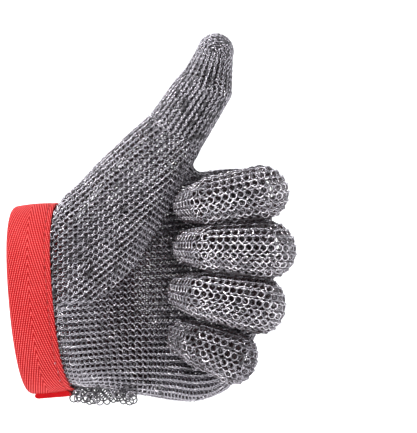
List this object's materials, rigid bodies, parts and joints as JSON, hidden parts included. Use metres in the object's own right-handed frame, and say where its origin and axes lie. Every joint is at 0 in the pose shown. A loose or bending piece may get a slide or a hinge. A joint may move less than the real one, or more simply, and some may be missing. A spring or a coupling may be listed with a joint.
{
  "type": "chain mail glove",
  "caption": "Left-hand safety glove of fine steel ring mail in a thumbs-up fist, with jointed fingers and a webbing wrist band closed by a press stud.",
  "frame": {"origin": "centre of the wrist opening, in the plane of the band's free rim", "axes": "+X from the wrist to the fingers, +Z towards the thumb, the palm faces -Y"},
  "size_m": [0.1249, 0.0711, 0.163],
  "materials": {
    "steel_mail": "polished wire",
    "red_webbing": "herringbone weave",
    "red_thread": "twisted thread",
    "snap_metal": "nickel plate"
  },
  "bodies": {
    "hand": {"palm_mail": "steel_mail", "back_mail": "steel_mail", "thumb_root": "steel_mail", "loose_pleat": "steel_mail", "cuff_band": "red_webbing", "cuff_stitching": "red_thread", "tongue_root": "red_webbing", "snap_studs": "snap_metal", "snap_back_plates": "snap_metal"},
    "strap": {"strap_tongue": "red_webbing", "tongue_stitching": "red_thread", "snap_socket": "snap_metal", "snap_cap": "snap_metal"},
    "index_base": {"index_finger_base": "steel_mail"},
    "index_middle": {"index_finger_middle": "steel_mail"},
    "index_tip": {"index_finger_tip": "steel_mail"},
    "middle_base": {"middle_finger_base": "steel_mail"},
    "middle_middle": {"middle_finger_middle": "steel_mail"},
    "middle_tip": {"middle_finger_tip": "steel_mail"},
    "ring_base": {"ring_finger_base": "steel_mail"},
    "ring_middle": {"ring_finger_middle": "steel_mail"},
    "ring_tip": {"ring_finger_tip": "steel_mail"},
    "little_base": {"little_finger_base": "steel_mail"},
    "little_middle": {"little_finger_middle": "steel_mail"},
    "little_tip": {"little_finger_tip": "steel_mail"},
    "thumb_lower": {"thumb_lower": "steel_mail"},
    "thumb_tip": {"thumb_tip": "steel_mail"}
  },
  "joints": [
    {"name": "index_knuckle", "type": "hinge", "parent": "hand", "child": "index_base", "pos_m": [0.1005, 0.008, 0.0468], "axis": [-0.1736, 0, 0.9848], "range_deg": [0, 84]},
    {"name": "index_middle_joint", "type": "hinge", "parent": "index_base", "child": "index_middle", "pos_m": [0.10451, -0.03079, 0.04751], "axis": [-0.1736, 0, 0.9848], "range_deg": [0, 100]},
    {"name": "index_tip_joint", "type": "hinge", "parent": "index_middle", "child": "index_tip", "pos_m": [0.08111, -0.02745, 0.04338], "axis": [-0.1736, 0, 0.9848], "range_deg": [0, 50]},
    {"name": "middle_knuckle", "type": "hinge", "parent": "hand", "child": "middle_base", "pos_m": [0.1032, 0.009, 0.0226], "axis": [0.0262, 0, 0.9997], "range_deg": [0, 84]},
    {"name": "middle_middle_joint", "type": "hinge", "parent": "middle_base", "child": "middle_middle", "pos_m": [0.10759, -0.03277, 0.02249], "axis": [0.0262, 0, 0.9997], "range_deg": [0, 100]},
    {"name": "middle_tip_joint", "type": "hinge", "parent": "middle_middle", "child": "middle_tip", "pos_m": [0.08185, -0.02915, 0.02316], "axis": [0.0262, 0, 0.9997], "range_deg": [0, 50]},
    {"name": "ring_knuckle", "type": "hinge", "parent": "hand", "child": "ring_base", "pos_m": [0.1012, 0.0075, -0.0015], "axis": [0.1736, 0, 0.9848], "range_deg": [0, 84]},
    {"name": "ring_middle_joint", "type": "hinge", "parent": "ring_base", "child": "ring_middle", "pos_m": [0.10522, -0.03129, -0.00221], "axis": [0.1736, 0, 0.9848], "range_deg": [0, 100]},
    {"name": "ring_tip_joint", "type": "hinge", "parent": "ring_middle", "child": "ring_tip", "pos_m": [0.07791, -0.02739, 0.00261], "axis": [0.1736, 0, 0.9848], "range_deg": [0, 50]},
    {"name": "little_knuckle", "type": "hinge", "parent": "hand", "child": "little_base", "pos_m": [0.091, 0.004, -0.0246], "axis": [0.3746, 0, 0.9272], "range_deg": [0, 84]},
    {"name": "little_middle_joint", "type": "hinge", "parent": "little_base", "child": "little_middle", "pos_m": [0.094, -0.02683, -0.02581], "axis": [0.3746, 0, 0.9272], "range_deg": [0, 100]},
    {"name": "little_tip_joint", "type": "hinge", "parent": "little_middle", "child": "little_tip", "pos_m": [0.07564, -0.02405, -0.0184], "axis": [0.3746, 0, 0.9272], "range_deg": [0, 50]},
    {"name": "thumb_root_joint", "type": "hinge", "parent": "hand", "child": "thumb_lower", "pos_m": [0.0654, -0.008, 0.075], "axis": [0, 1, 0], "range_deg": [0, 30]},
    {"name": "thumb_tip_joint", "type": "hinge", "parent": "thumb_lower", "child": "thumb_tip", "pos_m": [0.0786, -0.009, 0.0945], "axis": [0, 1, 0], "range_deg": [0, 55]},
    {"name": "strap_opening", "type": "hinge", "parent": "hand", "child": "strap", "pos_m": [0.01355, 0.00121, -0.04245], "axis": [-0.9744, 0.2071, -0.0872], "range_deg": [0, 110]}
  ],
  "couplings": [
    {"joint": "index_tip_joint", "follows": "index_middle_joint", "ratio": 0.5},
    {"joint": "middle_tip_joint", "follows": "middle_middle_joint", "ratio": 0.5},
    {"joint": "ring_tip_joint", "follows": "ring_middle_joint", "ratio": 0.5},
    {"joint": "little_tip_joint", "follows": "little_middle_joint", "ratio": 0.5}
  ]
}
